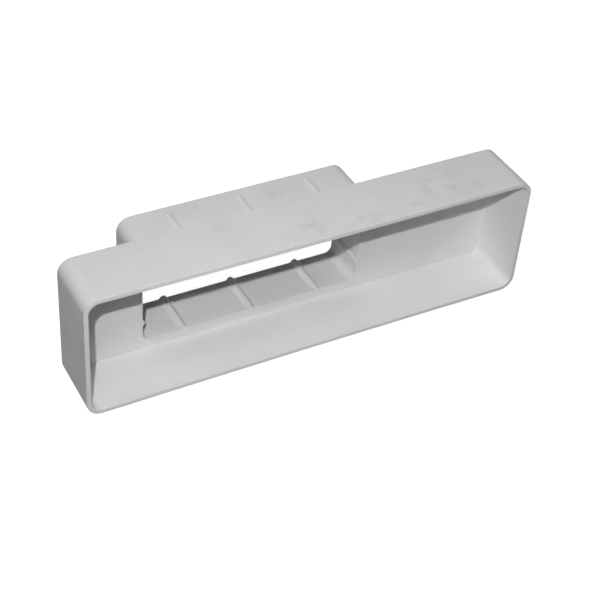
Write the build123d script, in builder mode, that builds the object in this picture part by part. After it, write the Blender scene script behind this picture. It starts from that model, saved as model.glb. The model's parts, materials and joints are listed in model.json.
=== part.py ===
from build123d import *
import os

os.makedirs("parts", exist_ok=True)

# Flat duct airbrick adapter, moulded in one piece, in millimetres.
# X runs along the box, Y from the open front to the end of the spigot, Z up.
# The origin is under the middle of the part, on the floor that it stands on.

# Airbrick box, open at the front
box_width = 204.0
box_height = 59.0
box_depth = 28.2
box_wall = 1.9
back_wall = 2.0
box_corner_radius = 6.5
cavity_draft = 0.7
cavity_fillet = 0.3
rim_radius = 0.25
back_edge_chamfer = 0.25

# Duct spigot behind the back wall, set to one side of the box
spigot_width = 105.6
spigot_step = 4.3
spigot_length = 20.6
spigot_wall = 2.0
spigot_corner_radius = 6.2
duct_corner_radius = 3.5
spigot_offset = -16.3
spigot_root_radius = 0.5

# Hole through the back wall, with a low ledge on its long sides before the spigot's bore
entry_ledge = 0.8
entry_corner_radius = 2.5
entry_radius = 0.15

# Ribs along the inside of the spigot, on the long walls and on the sides, with round crowns and eased feet
long_rib_count = 3
long_rib_pitch = 31.9
long_rib_width = 3.6
long_rib_height = 1.5
side_rib_count = 2
side_rib_pitch = 26.0
side_rib_width = 3.2
side_rib_height = 0.9
rib_crown_radius = 1.4
rib_overlap = 0.2

# Low ridges along the outside of the spigot, one over each rib of the long walls
ridge_width = 4.0
ridge_height = 0.3
ridge_crown_radius = 4.0
ridge_setback = 4.3
ridge_overlap = 0.5

# Places along Y, and the height of the middle plane
front_y = -(box_depth + spigot_length) / 2
back_face_y = front_y + box_depth
spigot_end_y = back_face_y + spigot_length
middle_z = box_height / 2

# Sizes that follow from the walls and the step between the box and the spigot
cavity_depth = box_depth - back_wall
spigot_height = box_height - 2 * spigot_step
duct_width = spigot_width - 2 * spigot_wall
duct_height = spigot_height - 2 * spigot_wall
duct_length = spigot_length + back_wall
entry_height = duct_height - 2 * entry_ledge

# The ribs reach down into the wall as far as the rounded entry falls away from them
rib_root = entry_radius + rib_overlap

# Planes that look out of the open front, so an extrusion runs from the back to the front
front_dir = (0, -1, 0)
back_face = Plane((0, back_face_y, middle_z), x_dir=(1, 0, 0), z_dir=front_dir)
rim_face = Plane((0, front_y, middle_z), x_dir=(1, 0, 0), z_dir=front_dir)
spigot_end = Plane((spigot_offset, spigot_end_y, middle_z), x_dir=(1, 0, 0), z_dir=front_dir)
spigot_root = spigot_end.offset(spigot_length)


def bead_profile(width, height, crown_radius, root):
    """Section of a bead on a level wall: a round crown, a foot on each side that runs out along the
    wall, and a square root below the wall."""
    both_radii = ((width / 2) ** 2 + height**2) / (2 * height)
    crown_side = crown_radius / both_radii * width / 2
    crown_foot = height - crown_radius / both_radii * height
    with BuildSketch() as profile:
        with BuildLine():
            TangentArc((-width / 2, 0), (-crown_side, crown_foot), tangent=(1, 0))
            ThreePointArc((-crown_side, crown_foot), (0, height), (crown_side, crown_foot))
            TangentArc((width / 2, 0), (crown_side, crown_foot), tangent=(-1, 0))
            Polyline(
                (width / 2, 0),
                (width / 2, -root),
                (-width / 2, -root),
                (-width / 2, 0),
            )
        make_face()
    return profile.sketch


long_rib = bead_profile(long_rib_width, long_rib_height, rib_crown_radius, rib_root)
side_rib = bead_profile(side_rib_width, side_rib_height, rib_crown_radius, rib_root)
ridge = bead_profile(ridge_width, ridge_height, ridge_crown_radius, ridge_overlap)

with BuildPart() as adapter:
    # Box: a rounded block, cut back to a tray with its back wall behind
    with BuildSketch(back_face):
        RectangleRounded(box_width, box_height, box_corner_radius)
    extrude(amount=box_depth)
    chamfer(adapter.faces().sort_by(Axis.Y)[-1].edges(), length=back_edge_chamfer)

    # Cavity: drawn at the rim and drafted, so that it narrows towards the back wall
    with BuildSketch(rim_face):
        RectangleRounded(
            box_width - 2 * box_wall,
            box_height - 2 * box_wall,
            box_corner_radius - box_wall,
        )
    extrude(amount=-cavity_depth, taper=cavity_draft, mode=Mode.SUBTRACT)
    cavity_floor = adapter.faces(Select.LAST).filter_by(Axis.Y).sort_by(Axis.Y)[-1]
    fillet(cavity_floor.edges(), radius=cavity_fillet)
    rim = adapter.faces().filter_by(Axis.Y).sort_by(Axis.Y)[0]
    fillet(rim.edges(), radius=rim_radius)

    # Spigot: a rounded block on the back wall, with its root edge eased
    with BuildSketch(spigot_end):
        RectangleRounded(spigot_width, spigot_height, spigot_corner_radius)
    extrude(amount=spigot_length)
    back = adapter.faces().filter_by(Axis.Y).group_by(Axis.Y)[-2].face()
    fillet(back.inner_wires().edges(), radius=spigot_root_radius)

    # Duct way: the spigot's bore, then a lower hole through the back wall, eased where it enters the box
    with BuildSketch(spigot_end):
        RectangleRounded(duct_width, duct_height, duct_corner_radius)
    extrude(amount=spigot_length, mode=Mode.SUBTRACT)
    with BuildSketch(spigot_root):
        RectangleRounded(duct_width, entry_height, entry_corner_radius)
    extrude(amount=back_wall, mode=Mode.SUBTRACT)
    entry = adapter.faces().filter_by(Axis.Y).group_by(Axis.Y)[1].face()
    fillet(entry.inner_wires().edges(), radius=entry_radius)

    # Ribs: on all four walls of the duct way, flush with the back wall's inner face
    with BuildSketch(spigot_end):
        with Locations(
            Location((0, -duct_height / 2), 0),
            Location((0, duct_height / 2), 180),
        ):
            with GridLocations(long_rib_pitch, 0, long_rib_count, 1):
                add(long_rib)
        with Locations(
            Location((-duct_width / 2, 0), -90),
            Location((duct_width / 2, 0), 90),
        ):
            with GridLocations(side_rib_pitch, 0, side_rib_count, 1):
                add(side_rib)
    extrude(amount=duct_length)

    # Ridges: on the long outer walls, short of the spigot's end
    with BuildSketch(spigot_end.offset(ridge_setback)):
        with Locations(
            Location((0, spigot_height / 2), 0),
            Location((0, -spigot_height / 2), 180),
        ):
            with GridLocations(long_rib_pitch, 0, long_rib_count, 1):
                add(ridge)
    extrude(amount=spigot_length - ridge_setback)

adapter.part.label = "adapter_body"
export_step(adapter.part, "parts/adapter_body.step")
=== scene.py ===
import json
import logging
import math
from dataclasses import dataclass, field, replace
from enum import Enum
from typing import Any, Iterator, Sequence

import bmesh
import bpy
from mathutils import Euler, Matrix, Vector


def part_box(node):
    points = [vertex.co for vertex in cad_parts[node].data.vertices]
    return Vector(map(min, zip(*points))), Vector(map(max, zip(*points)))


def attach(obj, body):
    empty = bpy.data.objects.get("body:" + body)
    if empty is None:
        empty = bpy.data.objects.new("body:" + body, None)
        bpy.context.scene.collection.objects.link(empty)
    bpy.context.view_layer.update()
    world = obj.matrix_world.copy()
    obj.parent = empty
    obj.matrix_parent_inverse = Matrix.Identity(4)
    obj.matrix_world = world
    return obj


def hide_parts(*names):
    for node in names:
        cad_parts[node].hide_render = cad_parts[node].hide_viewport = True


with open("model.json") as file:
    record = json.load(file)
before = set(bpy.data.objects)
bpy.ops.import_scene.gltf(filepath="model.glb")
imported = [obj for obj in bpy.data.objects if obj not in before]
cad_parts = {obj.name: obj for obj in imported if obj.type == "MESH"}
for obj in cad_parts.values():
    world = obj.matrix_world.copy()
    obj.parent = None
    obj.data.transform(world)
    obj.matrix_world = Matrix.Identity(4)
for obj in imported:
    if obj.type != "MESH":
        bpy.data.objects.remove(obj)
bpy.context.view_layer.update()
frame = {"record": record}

MM = 0.001
BODY = "root"
NODE = "adapter_body"

log = logging.getLogger("airbrick_adapter")

Point = tuple[float, float, float]
Shares = tuple[float, ...]
Socket = bpy.types.NodeSocket
Tree = bpy.types.NodeTree


def grey(level: float) -> tuple[float, float, float, float]:
    """A neutral colour of one level, with full alpha."""
    return (level, level, level, 1.0)


def link(thing: bpy.types.Object) -> None:
    """Puts an object in the scene."""
    bpy.context.scene.collection.objects.link(thing)


class NodeBench:
    """Lays nodes in one tree and wires them together."""

    def __init__(self, tree: Tree) -> None:
        """Takes the tree that the nodes are laid in."""
        self.tree = tree

    def lay(self, kind: str, **settings: Any) -> bpy.types.Node:
        """Adds one node.

        Args:
            kind: the node's Blender type name.
            settings: the node's own properties.

        Returns:
            The new node.
        """
        node = self.tree.nodes.new(kind)
        for name, value in settings.items():
            setattr(node, name, value)
        return node

    def feed(self, socket: Socket, value: Any) -> None:
        """Wires a socket into another one, or sets it to a plain value.

        Args:
            socket: the input socket.
            value: an output socket, or the value to set.
        """
        if isinstance(value, Socket):
            self.tree.links.new(value, socket)
        else:
            socket.default_value = value

    def maths(self, operation: str, *values: Any, clamp: bool = False) -> Socket:
        """Lays a Math node.

        Args:
            operation: the node's operation.
            values: sockets or numbers, in the order of its inputs.
            clamp: True to keep the result between 0 and 1.

        Returns:
            The result's socket.
        """
        node = self.lay("ShaderNodeMath", operation=operation, use_clamp=clamp)
        for socket, value in zip(node.inputs, values):
            self.feed(socket, value)
        return node.outputs[0]

    def vectors(self, operation: str, *values: Any) -> bpy.types.Node:
        """Lays a Vector Math node.

        Args:
            operation: the node's operation.
            values: sockets or vectors, in the order of its inputs.

        Returns:
            The node.
        """
        node = self.lay("ShaderNodeVectorMath", operation=operation)
        for socket, value in zip(node.inputs, values):
            self.feed(socket, value)
        return node

    def scaled(self, vector: Any, factor: Any) -> Socket:
        """Multiplies a vector by a number.

        Args:
            vector: a socket or a vector.
            factor: a socket or a number.

        Returns:
            The result's socket.
        """
        node = self.vectors("SCALE", vector)
        self.feed(node.inputs["Scale"], factor)
        return node.outputs["Vector"]

    def ramp(self, value: Any, low: float, high: float, to_low: float, to_high: float) -> Socket:
        """Lays a smooth Map Range node.

        Args:
            value: the socket to map.
            low: the value that gives to_low.
            high: the value that gives to_high.
            to_low: the result at low and below it.
            to_high: the result at high and above it.

        Returns:
            The result's socket.
        """
        node = self.lay("ShaderNodeMapRange", interpolation_type="SMOOTHSTEP")
        for socket, number in zip(node.inputs, (value, low, high, to_low, to_high)):
            self.feed(socket, number)
        return node.outputs[0]

    def attribute(self, name: str, kind: str) -> Socket:
        """Reads a vertex attribute in a Geometry Nodes tree.

        Args:
            name: the attribute's name.
            kind: its data type.

        Returns:
            The attribute's socket.
        """
        node = self.lay("GeometryNodeInputNamedAttribute", data_type=kind)
        node.inputs["Name"].default_value = name
        return node.outputs["Attribute"]

    def seen(self) -> Socket:
        """Tells the rays that show the background: from the camera, off gloss and through glass.

        Returns:
            A socket that is 1 for those rays.
        """
        path = self.lay("ShaderNodeLightPath").outputs
        glossy = self.maths("MAXIMUM", path["Is Glossy Ray"], path["Is Transmission Ray"])
        return self.maths("MAXIMUM", path["Is Camera Ray"], glossy)


def add_sockets(
    tree: Tree,
    inputs: Sequence[tuple[str, str]],
    outputs: Sequence[tuple[str, str]],
) -> None:
    """Gives a node group its sockets.

    Args:
        tree: the group.
        inputs: name and socket type of each input.
        outputs: name and socket type of each output.
    """
    for name, kind in inputs:
        tree.interface.new_socket(name=name, in_out="INPUT", socket_type=kind)
    for name, kind in outputs:
        tree.interface.new_socket(name=name, in_out="OUTPUT", socket_type=kind)


class Wall(Enum):
    """The straight walls of a rounded outline, in walking order.

    Each has its way of travel and its way out, in X and Z.
    """

    BOTTOM = ((1, 0), (0, -1))
    RIGHT = ((0, 1), (1, 0))
    TOP = ((-1, 0), (0, 1))
    LEFT = ((0, -1), (-1, 0))

    @property
    def travel(self) -> tuple[int, int]:
        """The way along the wall."""
        return self.value[0]

    @property
    def outward(self) -> tuple[int, int]:
        """The way out of the outline."""
        return self.value[1]

    @property
    def is_long(self) -> bool:
        """True for the two walls along X."""
        return self.outward[0] == 0


class BeadRow(Enum):
    """The rows of beads, by the name that the inputs of the skin's tree give them."""

    LONG_RIB = "Long rib"
    SIDE_RIB = "Side rib"
    RIDGE = "Ridge"

    @property
    def attribute(self) -> str:
        """The vertex attribute that says which way the row's beads rise."""
        return self.name.lower()


@dataclass(frozen=True)
class Column:
    """One place round an outline: a share of a straight wall, then a turn round the next corner."""

    wall: Wall
    share: float
    turn: float = 0.0


@dataclass(frozen=True)
class Outline:
    """A rounded rectangle across the part, in metres."""

    centre_x: float
    centre_z: float
    half_width: float
    half_height: float
    corner: float

    def inset(self, gap: float) -> "Outline":
        """Moves the outline in by a gap all round.

        Args:
            gap: the gap in metres.

        Returns:
            The new outline.
        """
        return Outline(
            self.centre_x,
            self.centre_z,
            self.half_width - gap,
            self.half_height - gap,
            self.corner - gap,
        )

    def towards(self, other: "Outline", share: float) -> "Outline":
        """The outline a share of the way to another one."""
        mixed = [a + (b - a) * share for a, b in zip(self.numbers(), other.numbers())]
        return Outline(*mixed)

    def numbers(self) -> tuple[float, float, float, float, float]:
        """The fields in their order."""
        return (self.centre_x, self.centre_z, self.half_width, self.half_height, self.corner)

    def run(self, wall: Wall) -> float:
        """Half the length of a straight wall."""
        return (self.half_width if wall.is_long else self.half_height) - self.corner

    def place(self, column: Column) -> tuple[float, float]:
        """Finds where a column crosses the outline.

        Args:
            column: the place round the outline.

        Returns:
            X and Z in metres.
        """
        wall = column.wall
        reach = (self.half_height if wall.is_long else self.half_width) - self.corner
        ahead = column.share * self.run(wall) + self.corner * math.sin(column.turn)
        out = reach + self.corner * math.cos(column.turn)
        return (
            self.centre_x + wall.travel[0] * ahead + wall.outward[0] * out,
            self.centre_z + wall.travel[1] * ahead + wall.outward[1] * out,
        )


@dataclass(frozen=True)
class Ring:
    """One loop of the skin, with what stands on it.

    The share of a rib or ridge is 1 where it has its full height. The ledge says how far the long
    walls stand in from the outline, and the polish is 1 on the smoother side of the moulding.
    """

    outline: Outline
    y: float
    rib: float = 0.0
    ridge: float = 0.0
    ledge: float = 0.0
    polish: float = 0.0


@dataclass(frozen=True)
class Bead:
    """A row of like beads along a wall, with round crowns and eased feet, in millimetres."""

    count: int
    pitch: float
    width: float
    height: float
    crown: float

    def middles(self) -> list[float]:
        """Where the beads' middles lie along the wall, from the middle of the wall."""
        first = -self.pitch * (self.count - 1) / 2
        return [first + self.pitch * i for i in range(self.count)]

    def inputs(self, row: BeadRow) -> dict[str, float]:
        """Gives the row's values to the skin's tree.

        Args:
            row: the row that the beads make.

        Returns:
            The values by the name of the input, with lengths in metres.
        """
        values = {f"{row.value} count": float(self.count)}
        for length in ("pitch", "width", "height", "crown"):
            values[f"{row.value} {length}"] = getattr(self, length) * MM
        return values


@dataclass(frozen=True)
class BeadTree:
    """The Geometry Nodes that raise the ribs and ridges on the skin and bow its long walls."""

    crease: float = math.radians(42)
    bow_power: float = 1.4
    bead_inputs: tuple[str, ...] = ("Count", "Pitch", "Width", "Height", "Crown")
    box_inputs: tuple[str, ...] = (
        "Bottom bow",
        "Top bow",
        "Bow centre",
        "Half width",
        "Half height",
        "Back face",
        "Box depth",
    )

    def sagitta(self, bench: NodeBench, radius: Any, aside: Any) -> Socket:
        """Finds how far an arc has fallen at a distance aside from its top.

        Args:
            bench: the bench of the tree.
            radius: the arc's radius.
            aside: the distance aside.

        Returns:
            The fall, as a socket.
        """
        radius_squared = bench.maths("POWER", radius, 2.0)
        across = bench.maths("SUBTRACT", radius_squared, bench.maths("POWER", aside, 2.0))
        level = bench.maths("SQRT", bench.maths("MAXIMUM", across, 0.0))
        return bench.maths("SUBTRACT", radius, level)

    def bead_height(self) -> Tree:
        """Makes the group that gives the height of a row of beads at a place along a wall.

        A bead's section is an arc of the crown's radius, with an arc on each side of it that runs
        out along the wall.

        Returns:
            The group, with the height as its output.
        """
        tree = bpy.data.node_groups.new("bead_height", "GeometryNodeTree")
        number = "NodeSocketFloat"
        names = ("Along", *self.bead_inputs)
        add_sockets(tree, [(name, number) for name in names], [("Height", number)])
        bench = NodeBench(tree)
        given = bench.lay("NodeGroupInput").outputs

        # Distance aside from the middle of the nearest bead
        last = bench.maths("SUBTRACT", given["Count"], 1.0)
        first = bench.maths("MULTIPLY", bench.maths("MULTIPLY", last, given["Pitch"]), -0.5)
        from_first = bench.maths("SUBTRACT", given["Along"], first)
        nearest = bench.maths("ROUND", bench.maths("DIVIDE", from_first, given["Pitch"]))
        index = bench.maths("MINIMUM", bench.maths("MAXIMUM", nearest, 0.0), last)
        middle = bench.maths("MULTIPLY_ADD", index, given["Pitch"], first)
        aside = bench.maths("ABSOLUTE", bench.maths("SUBTRACT", given["Along"], middle))

        # The radii of crown and foot together, from the bead's width and height
        half = bench.maths("MULTIPLY", given["Width"], 0.5)
        half_squared = bench.maths("MULTIPLY", half, half)
        squares = bench.maths("ADD", half_squared, bench.maths("POWER", given["Height"], 2.0))
        both = bench.maths("DIVIDE", squares, bench.maths("MULTIPLY", given["Height"], 2.0))

        # The crown's arc over the middle, and the foot's arc beside it
        crown_drop = self.sagitta(bench, given["Crown"], aside)
        crown = bench.maths("SUBTRACT", given["Height"], crown_drop)
        left_over = bench.maths("MAXIMUM", bench.maths("SUBTRACT", half, aside), 0.0)
        foot = self.sagitta(bench, bench.maths("SUBTRACT", both, given["Crown"]), left_over)
        crown_side = bench.maths("DIVIDE", bench.maths("MULTIPLY", given["Crown"], half), both)
        on_crown = bench.maths("LESS_THAN", aside, crown_side)
        gain = bench.maths("MULTIPLY", on_crown, bench.maths("SUBTRACT", crown, foot))
        out = bench.lay("NodeGroupOutput")
        bench.feed(out.inputs["Height"], bench.maths("ADD", foot, gain))
        return tree

    def beads(self, bench: NodeBench, given: Any) -> Socket:
        """Adds up how far the beads and the ledge raise the skin.

        Args:
            bench: the bench of the skin's tree.
            given: the tree's inputs.

        Returns:
            The offset, as a vector socket.
        """
        group = self.bead_height()
        along = bench.attribute("along", "FLOAT")
        ledge = bench.attribute("ledge", "FLOAT")
        offset: Any = (0.0, 0.0, 0.0)
        for row in BeadRow:
            bead = bench.lay("GeometryNodeGroup", node_tree=group)
            bench.feed(bead.inputs["Along"], along)
            for name in self.bead_inputs:
                bench.feed(bead.inputs[name], given[f"{row.value} {name.lower()}"])
            height = bench.maths("MAXIMUM", bead.outputs["Height"], ledge)
            way = bench.attribute(row.attribute, "FLOAT_VECTOR")
            offset = bench.vectors("ADD", offset, bench.scaled(way, height)).outputs["Vector"]
        return offset

    def bow(self, bench: NodeBench, given: Any) -> Socket:
        """Finds how far the long walls lean in, most at the middle of the open front.

        Args:
            bench: the bench of the skin's tree.
            given: the tree's inputs.

        Returns:
            The offset along Z, as a vector socket.
        """
        place = bench.lay("ShaderNodeSeparateXYZ")
        bench.feed(place.inputs[0], bench.lay("GeometryNodeInputPosition").outputs[0])
        x, y, z = place.outputs
        from_centre = bench.maths("SUBTRACT", x, given["Bow centre"])
        aside = bench.maths("DIVIDE", from_centre, given["Half width"])
        span = bench.maths("SUBTRACT", 1.0, bench.maths("MULTIPLY", aside, aside), clamp=True)
        ahead = bench.maths("SUBTRACT", given["Back face"], y)
        depth = bench.maths("DIVIDE", ahead, given["Box depth"], clamp=True)
        lean = bench.maths("MULTIPLY", span, bench.maths("POWER", depth, self.bow_power))
        height = bench.maths("SUBTRACT", bench.maths("DIVIDE", z, given["Half height"]), 1.0)
        upper = bench.maths("MULTIPLY", bench.maths("MAXIMUM", height, 0.0), given["Top bow"])
        lower = bench.maths("MULTIPLY", bench.maths("MINIMUM", height, 0.0), given["Bottom bow"])
        inward = bench.maths("MULTIPLY", bench.maths("ADD", upper, lower), -1.0)
        offset = bench.lay("ShaderNodeCombineXYZ")
        bench.feed(offset.inputs["Z"], bench.maths("MULTIPLY", inward, lean))
        return offset.outputs[0]

    def shaded(self, bench: NodeBench, geometry: Socket) -> Socket:
        """Shades the skin smooth, apart from the edges past the crease angle.

        Args:
            bench: the bench of the skin's tree.
            geometry: the skin.

        Returns:
            The shaded skin, as a socket.
        """
        smooth = bench.lay("GeometryNodeSetShadeSmooth", domain="FACE")
        bench.feed(smooth.inputs["Geometry"], geometry)
        sharp = bench.lay("GeometryNodeSetShadeSmooth", domain="EDGE")
        bench.feed(sharp.inputs["Geometry"], smooth.outputs["Geometry"])
        angle = bench.lay("GeometryNodeInputMeshEdgeAngle").outputs["Unsigned Angle"]
        bench.feed(sharp.inputs["Selection"], bench.maths("GREATER_THAN", angle, self.crease))
        bench.feed(sharp.inputs["Shade Smooth"], False)
        return sharp.outputs["Geometry"]

    def skin_tree(self) -> Tree:
        """Makes the tree that shapes the skin.

        Returns:
            A tree with named inputs for each row of beads, the bow of the long walls and the material.
        """
        tree = bpy.data.node_groups.new("moulded_skin", "GeometryNodeTree")
        skin = ("Geometry", "NodeSocketGeometry")
        names = [f"{row.value} {name.lower()}" for row in BeadRow for name in self.bead_inputs]
        numbers = [(name, "NodeSocketFloat") for name in (*names, *self.box_inputs)]
        add_sockets(tree, [skin, *numbers, ("Material", "NodeSocketMaterial")], [skin])
        bench = NodeBench(tree)
        given = bench.lay("NodeGroupInput").outputs
        raised = bench.lay("GeometryNodeSetPosition")
        bench.feed(raised.inputs["Geometry"], given["Geometry"])
        bench.feed(raised.inputs["Offset"], self.beads(bench, given))
        bowed = bench.lay("GeometryNodeSetPosition")
        bench.feed(bowed.inputs["Geometry"], raised.outputs["Geometry"])
        bench.feed(bowed.inputs["Offset"], self.bow(bench, given))
        real = bench.lay("GeometryNodeRealizeInstances")
        bench.feed(real.inputs["Geometry"], self.shaded(bench, bowed.outputs["Geometry"]))
        dressed = bench.lay("GeometryNodeSetMaterial")
        bench.feed(dressed.inputs["Geometry"], real.outputs["Geometry"])
        bench.feed(dressed.inputs["Material"], given["Material"])
        bench.feed(bench.lay("NodeGroupOutput").inputs["Geometry"], dressed.outputs["Geometry"])
        return tree


@dataclass(frozen=True)
class NoiseField:
    """A noise over the part: the size of its features in metres, and its detail."""

    size: float
    detail: float

    def lay(self, bench: NodeBench, place: Socket) -> Socket:
        """Lays the noise.

        Args:
            bench: the bench of the material or group.
            place: the coordinates.

        Returns:
            The noise's level, about 0.5 on average.
        """
        node = bench.lay("ShaderNodeTexNoise")
        bench.feed(node.inputs["Vector"], place)
        bench.feed(node.inputs["Scale"], 1.0 / self.size)
        bench.feed(node.inputs["Detail"], self.detail)
        return node.outputs["Fac"]


class Face(Enum):
    """The level faces that have handling marks and painted shade, by their height in millimetres."""

    BOX_TOP = 59.0
    SPIGOT_TOP = 54.7
    SPIGOT_FLOOR = 6.3
    BOX_FLOOR = 2.0


@dataclass(frozen=True)
class SmudgeAndShade:
    """A grey spot on a face, for a handling mark and for painted shade alike: its place and reach in
    millimetres, and its depth of tone.
    """

    face: Face
    x: float
    y: float
    reach: float
    tone: float

    def middle(self) -> Point:
        """The mark's middle, in metres."""
        return (self.x * MM, self.y * MM, self.face.value * MM)


@dataclass(frozen=True)
class SatinPlastic:
    """Light grey moulded plastic with a satin skin, faint flow shading, handling marks and painted
    shade on the spigot floor.
    """

    colour: float = 0.71
    flow: NoiseField = NoiseField(28 * MM, 3.0)
    flow_tone: float = 0.025
    patches: NoiseField = NoiseField(9 * MM, 4.0)
    noise_span: tuple[float, float] = (0.3, 0.7)
    roughness: float = 0.7
    roughness_spread: float = 0.06
    polished: float = 0.36
    ior: float = 1.46
    specular: float = 0.3
    grain: NoiseField = NoiseField(0.9 * MM, 4.0)
    grain_depth: float = 0.012 * MM
    mark_edge: NoiseField = NoiseField(2.4 * MM, 3.0)
    mark_edge_span: tuple[float, float] = (0.25, 0.75)
    mark_unevenness: float = 0.4
    mark_core: float = 0.1
    mark_roughness: float = 0.6
    smudges_and_shade: tuple[SmudgeAndShade, ...] = (
        SmudgeAndShade(Face.BOX_TOP, 1.3, -14.9, reach=4.2, tone=0.1),
        SmudgeAndShade(Face.BOX_TOP, -3.2, -14.8, reach=4.4, tone=0.07),
        SmudgeAndShade(Face.BOX_TOP, 1.3, -19.1, reach=4.0, tone=0.06),
        SmudgeAndShade(Face.BOX_TOP, 2.0, -7.3, reach=4.0, tone=0.035),
        SmudgeAndShade(Face.BOX_TOP, 20.4, -18.2, reach=4.0, tone=0.085),
        SmudgeAndShade(Face.BOX_TOP, 26.7, -20.2, reach=4.8, tone=0.06),
        SmudgeAndShade(Face.BOX_TOP, 44.4, -18.0, reach=4.0, tone=0.05),
        SmudgeAndShade(Face.BOX_TOP, 48.1, -19.3, reach=4.0, tone=0.06),
        SmudgeAndShade(Face.BOX_TOP, 55.7, -11.7, reach=3.8, tone=0.085),
        SmudgeAndShade(Face.BOX_TOP, 57.5, -6.1, reach=5.5, tone=0.05),
        SmudgeAndShade(Face.BOX_TOP, 62.5, -5.4, reach=4.0, tone=0.05),
        SmudgeAndShade(Face.BOX_TOP, 56.0, -16.2, reach=4.8, tone=0.035),
        SmudgeAndShade(Face.BOX_TOP, 66.7, -14.6, reach=3.8, tone=0.07),
        SmudgeAndShade(Face.BOX_TOP, 67.8, -17.4, reach=4.0, tone=0.04),
        SmudgeAndShade(Face.BOX_TOP, 78.6, -16.3, reach=4.0, tone=0.06),
        SmudgeAndShade(Face.BOX_TOP, 71.3, -4.2, reach=6.5, tone=0.05),
        SmudgeAndShade(Face.BOX_TOP, -13.0, -16.6, reach=5.0, tone=0.04),
        SmudgeAndShade(Face.BOX_TOP, -36.0, -2.4, reach=3.6, tone=0.04),
        SmudgeAndShade(Face.SPIGOT_TOP, -2.4, 14.6, reach=4.2, tone=0.07),
        SmudgeAndShade(Face.BOX_FLOOR, 96.3, -5.5, reach=3.6, tone=0.05),
        # Painted shade: darkens the spigot floor along its left wall, where that wall shades it.
        SmudgeAndShade(Face.SPIGOT_FLOOR, -60.0, 15.0, reach=14.0, tone=0.07),
    )

    def dark_spot_group(self) -> Tree:
        """Makes the shader group of one grey spot with an uneven edge, as used for the handling marks
        and the painted shade.

        Returns:
            The group, with the mark's mask as its output.
        """
        tree = bpy.data.node_groups.new("handling_mark", "ShaderNodeTree")
        vector, number = "NodeSocketVector", "NodeSocketFloat"
        sockets = [("Place", vector), ("Middle", vector), ("Reach", number), ("Tone", number)]
        add_sockets(tree, sockets, [("Mask", number)])
        bench = NodeBench(tree)
        given = bench.lay("NodeGroupInput").outputs
        distance = bench.vectors("DISTANCE", given["Place"], given["Middle"]).outputs["Value"]
        edge = self.mark_edge.lay(bench, given["Place"])
        uneven = bench.ramp(edge, *self.mark_edge_span, -self.mark_unevenness, self.mark_unevenness)
        away = bench.maths("ADD", bench.maths("DIVIDE", distance, given["Reach"]), uneven)
        spot = bench.ramp(away, self.mark_core, 1.0, 1.0, 0.0)
        out = bench.lay("NodeGroupOutput")
        bench.feed(out.inputs["Mask"], bench.maths("MULTIPLY", spot, given["Tone"]))
        return tree

    def marks(self, bench: NodeBench, place: Socket) -> Socket:
        """Adds up the handling marks and the painted shade.

        Args:
            bench: the material's bench.
            place: the coordinates.

        Returns:
            The depth of tone of all the marks together.
        """
        group = self.dark_spot_group()
        marks: Any = 0.0
        for dark_spot in self.smudges_and_shade:
            mark = bench.lay("ShaderNodeGroup", node_tree=group)
            bench.feed(mark.inputs["Place"], place)
            bench.feed(mark.inputs["Middle"], dark_spot.middle())
            bench.feed(mark.inputs["Reach"], dark_spot.reach * MM)
            bench.feed(mark.inputs["Tone"], dark_spot.tone)
            marks = bench.maths("ADD", mark.outputs["Mask"], marks)
        return marks

    def paint(self, bench: NodeBench, place: Socket, marks: Socket) -> Socket:
        """Mixes the plastic's colour, with its flow shading, handling marks and painted shade.

        Args:
            bench: the material's bench.
            place: the coordinates.
            marks: the handling marks and the painted shade.

        Returns:
            The colour's socket.
        """
        flow = self.flow.lay(bench, place)
        flow_tone = bench.ramp(flow, *self.noise_span, -self.flow_tone, self.flow_tone)
        tone = bench.maths("SUBTRACT", bench.maths("ADD", flow_tone, 1.0), marks)
        level = bench.maths("MULTIPLY", tone, self.colour)
        paint = bench.lay("ShaderNodeCombineColor")
        for channel in ("Red", "Green", "Blue"):
            bench.feed(paint.inputs[channel], level)
        return paint.outputs[0]

    def gloss(self, bench: NodeBench, place: Socket, marks: Socket) -> Socket:
        """Mixes the roughness, which is lower on the polished side and higher on the marks.

        Args:
            bench: the material's bench.
            place: the coordinates.
            marks: the handling marks and the painted shade.

        Returns:
            The roughness's socket.
        """
        low = self.roughness - self.roughness_spread
        high = self.roughness + self.roughness_spread
        patches = bench.ramp(self.patches.lay(bench, place), *self.noise_span, low, high)
        on_marks = bench.maths("MULTIPLY", marks, self.mark_roughness)
        rough_side = bench.maths("ADD", patches, on_marks)
        polish = bench.lay("ShaderNodeAttribute", attribute_name="polish").outputs["Fac"]
        return bench.maths("MULTIPLY_ADD", polish, self.polished - self.roughness, rough_side)

    def material(self) -> bpy.types.Material:
        """Makes the material.

        Returns:
            The material, wired on Object coordinates.
        """
        made = bpy.data.materials.new("satin_plastic")
        made.use_nodes = True
        made.node_tree.nodes.clear()
        bench = NodeBench(made.node_tree)
        place = bench.lay("ShaderNodeTexCoord").outputs["Object"]
        marks = self.marks(bench, place)
        bump = bench.lay("ShaderNodeBump")
        bench.feed(bump.inputs["Height"], self.grain.lay(bench, place))
        bench.feed(bump.inputs["Distance"], self.grain_depth)
        bench.feed(bump.inputs["Strength"], 1.0)
        shader = bench.lay("ShaderNodeBsdfPrincipled")
        bench.feed(shader.inputs["Base Color"], self.paint(bench, place, marks))
        bench.feed(shader.inputs["Roughness"], self.gloss(bench, place, marks))
        bench.feed(shader.inputs["Normal"], bump.outputs["Normal"])
        bench.feed(shader.inputs["IOR"], self.ior)
        bench.feed(shader.inputs["Specular IOR Level"], self.specular)
        bench.feed(bench.lay("ShaderNodeOutputMaterial").inputs["Surface"], shader.outputs["BSDF"])
        return made


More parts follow.
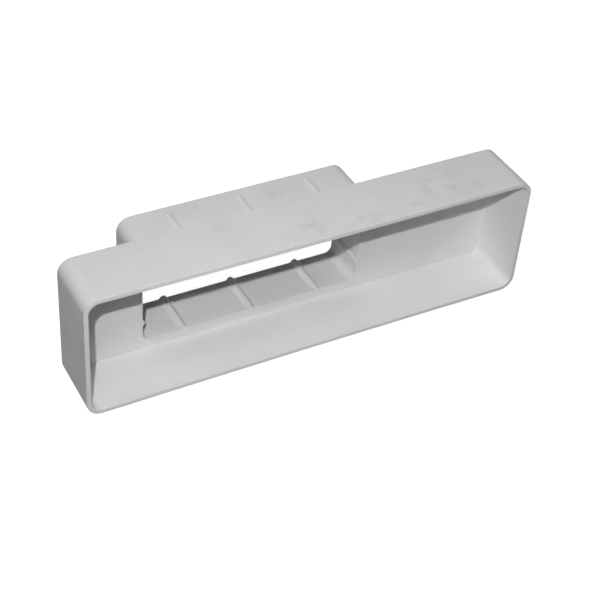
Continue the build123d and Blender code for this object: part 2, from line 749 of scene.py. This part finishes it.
@dataclass(frozen=True)
class LoopPlan:
    """How closely the skin's loops and columns lie.

    The shares say where the loops lie along each stretch, and where the columns lie over half a bead.
    The steps are those of a quarter turn. The gap is about that between columns on plain wall, in
    millimetres.
    """

    corner_steps: int = 10
    rim_steps: int = 5
    root_steps: int = 4
    edge_steps: int = 3
    column_gap: float = 5.0
    bead: Shares = (0.0, 0.12, 0.24, 0.34, 0.42, 0.48, 0.525, 0.57, 0.63, 0.7, 0.78, 0.88, 1.0)
    box_outside: Shares = (0.06, 0.15, 0.3, 0.45, 0.6, 0.75, 0.9, 0.97)
    back_face: Shares = (0.05, 0.35, 0.7, 0.95)
    ridge: Shares = (0.1, 0.4, 0.7, 0.95)
    spigot_end: Shares = (0.1, 0.5, 0.9)
    bore: Shares = (0.04, 0.2, 0.4, 0.6, 0.8, 0.98, 1.0)
    entry: Shares = (0.0, 0.1, 0.5, 0.9)
    inner_face: Shares = (0.06, 0.35, 0.7, 0.95)
    box_inside: Shares = (0.9, 0.75, 0.6, 0.45, 0.3, 0.15, 0.06)


@dataclass
class AdapterBody:
    """The moulding: the open box, its back wall and the ribbed spigot, as one closed skin of quads.

    The skin is a chain of loops. It starts on the rim, runs back along the outside of the box, over
    the back wall and along the spigot, turns into the duct way and comes back through the box to the
    rim. Sizes are in millimetres. The overall size and the places of the walls come from the frame,
    in metres.
    """

    finish: SatinPlastic = field(default_factory=SatinPlastic)
    plan: LoopPlan = field(default_factory=LoopPlan)
    wall: float = 1.9
    back_wall: float = 2.0
    corner: float = 6.5
    outer_draft: float = 0.05
    cavity_draft: float = 0.32
    cavity_fillet: float = 0.15
    rim_round: float = 0.1
    back_round: float = 0.3
    spigot_half_width: float = 52.8
    spigot_step: float = 4.3
    spigot_wall: float = 2.0
    spigot_corner: float = 6.2
    duct_corner: float = 3.5
    spigot_root: float = 0.5
    spigot_end_round: float = 0.2
    entry_ledge: float = 0.8
    entry_slope: float = 0.15
    entry_round: float = 0.12
    entry_border: float = 0.3
    ridge_setback: float = 4.3
    ridge_end: float = 0.25
    ridge_end_share: float = 0.8
    bottom_bow: float = 0.65
    top_bow: float = 0.35
    bow_centre: float = 12.0
    long_ribs: Bead = Bead(count=3, pitch=31.9, width=4.8, height=1.5, crown=1.5)
    side_ribs: Bead = Bead(count=2, pitch=26.0, width=4.4, height=0.9, crown=1.5)
    ridges: Bead = Bead(count=3, pitch=31.9, width=3.6, height=0.42, crown=2.5)
    front: float = field(init=False)
    inner_face: float = field(init=False)
    back: float = field(init=False)
    end: float = field(init=False)
    half_width: float = field(init=False)
    half_height: float = field(init=False)
    spigot_x: float = field(init=False)

    def __post_init__(self) -> None:
        """Takes the overall size and the walls' places from the frame."""
        low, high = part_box(NODE)
        mounts = {mount["name"]: mount["pos_m"] for mount in frame["record"]["mounts"]}
        self.front = low.y
        self.end = high.y
        self.back = mounts["duct_stop"][1]
        self.inner_face = self.back - self.back_wall * MM
        self.half_width = (high.x - low.x) / 2
        self.half_height = (high.z - low.z) / 2
        self.spigot_x = mounts["duct_spigot"][0]

    def outer(self) -> Outline:
        """The outside of the box at the rim."""
        return Outline(0.0, self.half_height, self.half_width, self.half_height, self.corner * MM)

    def spigot(self) -> Outline:
        """The outside of the spigot."""
        return Outline(
            self.spigot_x,
            self.half_height,
            self.spigot_half_width * MM,
            self.half_height - self.spigot_step * MM,
            self.spigot_corner * MM,
        )

    def duct(self) -> Outline:
        """The plain wall of the way through the spigot."""
        return replace(self.spigot().inset(self.spigot_wall * MM), corner=self.duct_corner * MM)

    def columns(self) -> list[Column]:
        """Places the columns of every loop, crowded where a bead stands.

        Returns:
            The columns in walking order.
        """
        duct = self.duct()
        turns = [math.pi / 2 * i / self.plan.corner_steps for i in range(1, self.plan.corner_steps)]
        placed = []
        for wall in Wall:
            row = self.long_ribs if wall.is_long else self.side_ribs
            run = duct.run(wall) / MM
            marks = {-run, run}
            for middle in row.middles():
                sides = [share * row.width / 2 for share in self.plan.bead]
                marks |= {middle + side for side in sides} | {middle - side for side in sides}
            stops = sorted({round(mark, 4) for mark in marks})
            shares = [stops[0] / run]
            for near, far in zip(stops, stops[1:]):
                steps = max(1, round((far - near) / self.plan.column_gap))
                shares += [(near + (far - near) * i / steps) / run for i in range(1, steps + 1)]
            placed += [Column(wall, share) for share in shares]
            placed += [Column(wall, 1.0, turn) for turn in turns]
        return placed

    def quarter(self, steps: int) -> Iterator[tuple[float, float]]:
        """Walks along a quarter turn, both ends included.

        Args:
            steps: the number of steps.

        Yields:
            Sine and cosine of each angle.
        """
        for i in range(steps + 1):
            angle = math.pi / 2 * i / steps
            yield math.sin(angle), math.cos(angle)

    def box_outside(self) -> list[Ring]:
        """Lays the loops from the rim along the outside of the box to its back face.

        Returns:
            The loops in order.
        """
        rim, edge = self.rim_round * MM, self.back_round * MM
        draft = self.outer_draft * MM
        depth = self.back - self.front
        outer = self.outer()
        rings = []
        for sine, cosine in self.quarter(self.plan.rim_steps):
            rings.append(Ring(outer.inset(rim * (1 - sine)), self.front + rim * (1 - cosine)))
        for share in self.plan.box_outside:
            rings.append(Ring(outer.inset(draft * share), self.front + depth * share))
        for sine, cosine in self.quarter(self.plan.edge_steps):
            rounded = outer.inset(draft + edge * (1 - cosine))
            rings.append(Ring(rounded, self.back - edge * (1 - sine)))
        return rings

    def spigot_outside(self) -> list[Ring]:
        """Lays the loops over the back face and along the outside of the spigot to its end.

        Returns:
            The loops in order.
        """
        root, edge = self.spigot_root * MM, self.spigot_end_round * MM
        spigot = self.spigot()
        box = self.outer().inset((self.outer_draft + self.back_round) * MM)
        rings = []
        for share in self.plan.back_face:
            rings.append(Ring(box.towards(spigot.inset(-root), share), self.back))
        for sine, cosine in self.quarter(self.plan.root_steps):
            flared = spigot.inset(-root * (1 - sine))
            rings.append(Ring(flared, self.back + root * (1 - cosine), ridge=sine))
        stop = self.end - self.ridge_setback * MM
        start = self.back + root
        for share in self.plan.ridge:
            rings.append(Ring(spigot, start + (stop - start) * share, ridge=1.0))
        rings.append(Ring(spigot, stop - self.ridge_end * MM, ridge=self.ridge_end_share))
        rings.append(Ring(spigot, stop))
        for share in self.plan.spigot_end:
            rings.append(Ring(spigot, stop + (self.end - edge - stop) * share))
        for sine, cosine in self.quarter(self.plan.edge_steps):
            rings.append(Ring(spigot.inset(edge * (1 - cosine)), self.end - edge * (1 - sine)))
        return rings

    def duct_way(self) -> list[Ring]:
        """Lays the loops from the spigot's end through the duct way to the back wall in the box.

        Returns:
            The loops in order.
        """
        edge, entry = self.spigot_end_round * MM, self.entry_round * MM
        ledge = self.entry_ledge * MM
        duct = self.duct()
        rings = []
        for sine, cosine in self.quarter(self.plan.edge_steps):
            flared = duct.inset(-edge * (1 - sine))
            rings.append(Ring(flared, self.end - edge * (1 - cosine), rib=1.0))
        near, far = self.end - edge, self.back
        for share in self.plan.bore:
            rings.append(Ring(duct, near + (far - near) * share, rib=1.0))
        near, far = self.back - self.entry_slope * MM, self.inner_face + entry
        for share in self.plan.entry:
            rings.append(Ring(duct, near + (far - near) * share, rib=1.0, ledge=ledge))
        for sine, cosine in self.quarter(self.plan.edge_steps):
            flared = duct.inset(-entry * (1 - cosine))
            rings.append(Ring(flared, self.inner_face + entry * (1 - sine), rib=1.0, ledge=ledge))
        border = duct.inset(-entry - self.entry_border * MM)
        rings.append(Ring(border, self.inner_face, polish=1.0))
        return rings

    def box_inside(self) -> list[Ring]:
        """Lays the loops over the back wall inside the box and along the cavity to the rim.

        Returns:
            The loops in order.
        """
        fillet, rim = self.cavity_fillet * MM, self.rim_round * MM
        draft = self.cavity_draft * MM
        duct = self.duct().inset(-self.entry_round * MM)
        mouth = self.outer().inset(self.wall * MM)
        floor = mouth.inset(draft)
        depth = self.inner_face - self.front
        rings = []
        for share in self.plan.inner_face:
            spread = duct.towards(floor.inset(fillet), share)
            rings.append(Ring(spread, self.inner_face, polish=1.0))
        for sine, cosine in self.quarter(self.plan.edge_steps):
            rounded = floor.inset(fillet * (1 - sine))
            rings.append(Ring(rounded, self.inner_face - fillet * (1 - cosine), polish=1.0))
        for share in self.plan.box_inside:
            rings.append(Ring(mouth.inset(draft * share), self.front + depth * share, polish=1.0))
        for sine, cosine in self.quarter(self.plan.rim_steps):
            rings.append(Ring(mouth.inset(-rim * (1 - cosine)), self.front + rim * (1 - sine)))
        return rings

    def skin(self) -> bpy.types.Mesh:
        """Joins the loops into a closed skin and notes on its vertices where beads may rise.

        Returns:
            The mesh, before the beads are raised.
        """
        rings = self.box_outside() + self.spigot_outside() + self.duct_way() + self.box_inside()
        columns = self.columns()
        bm = bmesh.new()
        along = bm.verts.layers.float.new("along")
        ledge = bm.verts.layers.float.new("ledge")
        polish = bm.verts.layers.float.new("polish")
        ways = {row: bm.verts.layers.float_vector.new(row.attribute) for row in BeadRow}
        loops = []
        for ring in rings:
            loop = []
            for column in columns:
                x, z = ring.outline.place(column)
                vert = bm.verts.new((x, ring.y, z))
                vert[along] = column.share * ring.outline.run(column.wall)
                vert[polish] = ring.polish
                outward = Vector((column.wall.outward[0], 0.0, column.wall.outward[1]))
                if column.wall.is_long:
                    vert[ledge] = ring.ledge * math.cos(column.turn)
                    vert[ways[BeadRow.LONG_RIB]] = outward * -ring.rib
                    vert[ways[BeadRow.RIDGE]] = outward * (ring.ridge if column.turn == 0.0 else 0.0)
                elif column.turn > 0.0:
                    ahead = Vector((column.wall.travel[0], 0.0, column.wall.travel[1]))
                    vert[ledge] = ring.ledge * math.sin(column.turn)
                    vert[ways[BeadRow.LONG_RIB]] = ahead * -ring.rib
                else:
                    vert[ways[BeadRow.SIDE_RIB]] = outward * -ring.rib
                loop.append(vert)
            loops.append(loop)
        for near, far in zip(loops, loops[1:] + loops[:1]):
            for i in range(len(columns)):
                j = (i + 1) % len(columns)
                bm.faces.new((near[i], near[j], far[j], far[i]))
        if bm.calc_volume(signed=True) < 0:
            bmesh.ops.reverse_faces(bm, faces=bm.faces)
        mesh = bpy.data.meshes.new("adapter_skin")
        bm.to_mesh(mesh)
        bm.free()
        return mesh

    def tree_values(self) -> dict[str, Any]:
        """Lists what the inputs of the skin's tree are set to.

        Returns:
            The values by the name of the input, with lengths in metres.
        """
        return {
            "Bottom bow": self.bottom_bow * MM,
            "Top bow": self.top_bow * MM,
            "Bow centre": self.bow_centre * MM,
            "Half width": self.half_width,
            "Half height": self.half_height,
            "Back face": self.back,
            "Box depth": self.back - self.front,
            "Material": self.finish.material(),
            **self.long_ribs.inputs(BeadRow.LONG_RIB),
            **self.side_ribs.inputs(BeadRow.SIDE_RIB),
            **self.ridges.inputs(BeadRow.RIDGE),
        }

    def build(self) -> bpy.types.Object:
        """Makes the piece: skin, beads, bow and weighted normals, as a plain mesh.

        Returns:
            The piece, at the origin.
        """
        piece = bpy.data.objects.new("adapter_moulding", self.skin())
        link(piece)
        shaper = piece.modifiers.new("moulded_skin", "NODES")
        shaper.node_group = BeadTree().skin_tree()
        values = self.tree_values()
        for item in shaper.node_group.interface.items_tree:
            if item.in_out == "INPUT" and item.name in values:
                shaper[item.identifier] = values[item.name]
        weigh = piece.modifiers.new("weighted_normals", "WEIGHTED_NORMAL")
        weigh.keep_sharp = True
        graph = bpy.context.evaluated_depsgraph_get()
        mesh = bpy.data.meshes.new_from_object(piece.evaluated_get(graph), depsgraph=graph)
        piece.modifiers.clear()
        piece.data = mesh
        for name in ("along", "ledge", *(row.attribute for row in BeadRow)):
            mesh.attributes.remove(mesh.attributes[name])
        return piece

    def dress(self, piece: bpy.types.Object) -> None:
        """Sets the piece in the frame in place of the plain solid.

        Args:
            piece: the piece that build made.
        """
        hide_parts(NODE)
        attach(piece, BODY)


def aimed(place: Point, aim: Point) -> Euler:
    """The turn that points a lamp at an aim from its place."""
    return (Vector(aim) - Vector(place)).to_track_quat("-Z", "Y").to_euler()


@dataclass(frozen=True)
class Panel:
    """A soft light that faces the object, in metres and watts."""

    name: str
    place: Point
    width: float
    height: float
    power: float

    def hang(self) -> None:
        """Puts the panel in the scene."""
        lamp = bpy.data.lights.new(self.name, "AREA")
        lamp.energy = self.power
        lamp.shape = "RECTANGLE"
        lamp.size = self.width
        lamp.size_y = self.height
        panel = bpy.data.objects.new(self.name, lamp)
        panel.location = self.place
        panel.rotation_euler = aimed(self.place, (0.0, 0.0, 0.0))
        link(panel)


@dataclass(frozen=True)
class KeyLight:
    """The small light near the camera, with a beam that fades to its edge, in metres and watts."""

    name: str = "key_light"
    place: Point = (-0.277, -0.404, 0.492)
    aim: Point = (0.035, 0.0, 0.03)
    power: float = 13.2
    radius: float = 7 * MM
    beam: float = math.radians(46)
    fade: float = 1.0

    def hang(self) -> None:
        """Puts the light in the scene."""
        lamp = bpy.data.lights.new(self.name, "SPOT")
        lamp.energy = self.power
        lamp.shadow_soft_size = self.radius
        lamp.spot_size = self.beam
        lamp.spot_blend = self.fade
        key = bpy.data.objects.new(self.name, lamp)
        key.location = self.place
        key.rotation_euler = aimed(self.place, self.aim)
        link(key)


@dataclass(frozen=True)
class PaleFloor:
    """The floor's finish, white to the eye and with the object's shadow kept on it."""

    bounce: float = 0.15
    glow: float = 0.97
    shade: float = 0.25

    def material(self) -> bpy.types.Material:
        """Makes the material.

        Returns:
            The material, which throws less light on the object than the eye sees.
        """
        made = bpy.data.materials.new("pale_floor")
        made.use_nodes = True
        made.node_tree.nodes.clear()
        bench = NodeBench(made.node_tree)
        bounce = bench.lay("ShaderNodeBsdfDiffuse")
        bench.feed(bounce.inputs["Color"], grey(self.bounce))
        shade = bench.lay("ShaderNodeBsdfDiffuse")
        bench.feed(shade.inputs["Color"], grey(self.shade))
        glow = bench.lay("ShaderNodeEmission")
        bench.feed(glow.inputs["Strength"], self.glow)
        both = bench.lay("ShaderNodeAddShader")
        bench.feed(both.inputs[0], shade.outputs[0])
        bench.feed(both.inputs[1], glow.outputs[0])
        mix = bench.lay("ShaderNodeMixShader")
        bench.feed(mix.inputs[0], bench.seen())
        bench.feed(mix.inputs[1], bounce.outputs[0])
        bench.feed(mix.inputs[2], both.outputs[0])
        bench.feed(bench.lay("ShaderNodeOutputMaterial").inputs["Surface"], mix.outputs[0])
        return made


@dataclass(frozen=True)
class PhotoCamera:
    """The camera at the photograph's viewing angle: its place in metres, its lens in millimetres."""

    place: Point = (-0.24045, -0.40856, 0.40662)
    azimuth: float = math.radians(31.097)
    elevation: float = math.radians(40.034)
    roll: float = math.radians(4.923)
    lens: float = 85.98
    sensor_width: float = 36.0
    near_limit: float = 0.01

    def set_up(self) -> None:
        """Puts the camera in the scene and makes it the scene's own."""
        data = bpy.data.cameras.new("camera")
        data.lens = self.lens
        data.sensor_width = self.sensor_width
        data.clip_start = self.near_limit
        camera = bpy.data.objects.new("camera", data)
        round_part = Matrix.Rotation(-self.azimuth, 4, "Z")
        tilt = Matrix.Rotation(math.pi / 2 - self.elevation, 4, "X")
        turn = round_part @ tilt @ Matrix.Rotation(self.roll, 4, "Z")
        camera.matrix_world = Matrix.Translation(self.place) @ turn
        link(camera)
        bpy.context.scene.camera = camera


@dataclass
class Studio:
    """The pale floor, the light and the camera."""

    finish: PaleFloor = field(default_factory=PaleFloor)
    floor_half: float = 3.0
    key: KeyLight = field(default_factory=KeyLight)
    panels: tuple[Panel, ...] = (
        Panel("overhead_light", (0.1, -0.37, 1.0), width=0.45, height=0.45, power=2.7),
        Panel("front_light", (-0.95, -0.75, 0.13), width=0.6, height=0.22, power=1.0),
        Panel("back_light", (0.22, 1.08, 0.03), width=0.4, height=0.05, power=3.4),
    )
    ambient: float = 0.02
    camera: PhotoCamera = field(default_factory=PhotoCamera)

    def lay_floor(self) -> None:
        """Makes the floor."""
        half = self.floor_half
        corners = [(-half, -half, 0), (half, -half, 0), (half, half, 0), (-half, half, 0)]
        mesh = bpy.data.meshes.new("floor")
        mesh.from_pydata(corners, [], [(0, 1, 2, 3)])
        mesh.materials.append(self.finish.material())
        floor = bpy.data.objects.new("floor", mesh)
        link(floor)

    def surround(self) -> None:
        """Makes the white background and the weak light all round."""
        world = bpy.data.worlds.new("studio")
        world.use_nodes = True
        world.node_tree.nodes.clear()
        bench = NodeBench(world.node_tree)
        around = bench.lay("ShaderNodeBackground")
        bench.feed(around.inputs["Color"], grey(1.0))
        strength = bench.maths("MULTIPLY_ADD", bench.seen(), 1.0 - self.ambient, self.ambient)
        bench.feed(around.inputs["Strength"], strength)
        bench.feed(bench.lay("ShaderNodeOutputWorld").inputs["Surface"], around.outputs[0])
        bpy.context.scene.world = world

    def build(self) -> None:
        """Sets up the whole studio."""
        self.lay_floor()
        self.key.hang()
        for panel in self.panels:
            panel.hang()
        self.surround()
        self.camera.set_up()
        bpy.context.scene.view_settings.view_transform = "Standard"


def main() -> None:
    """Builds the studio and the adapter."""
    logging.basicConfig(level=logging.INFO, format="%(name)s: %(message)s")
    Studio().build()
    body = AdapterBody()
    piece = body.build()
    body.dress(piece)
    log.info("%s: %d faces", piece.name, len(piece.data.polygons))


if __name__ == "__main__":
    main()
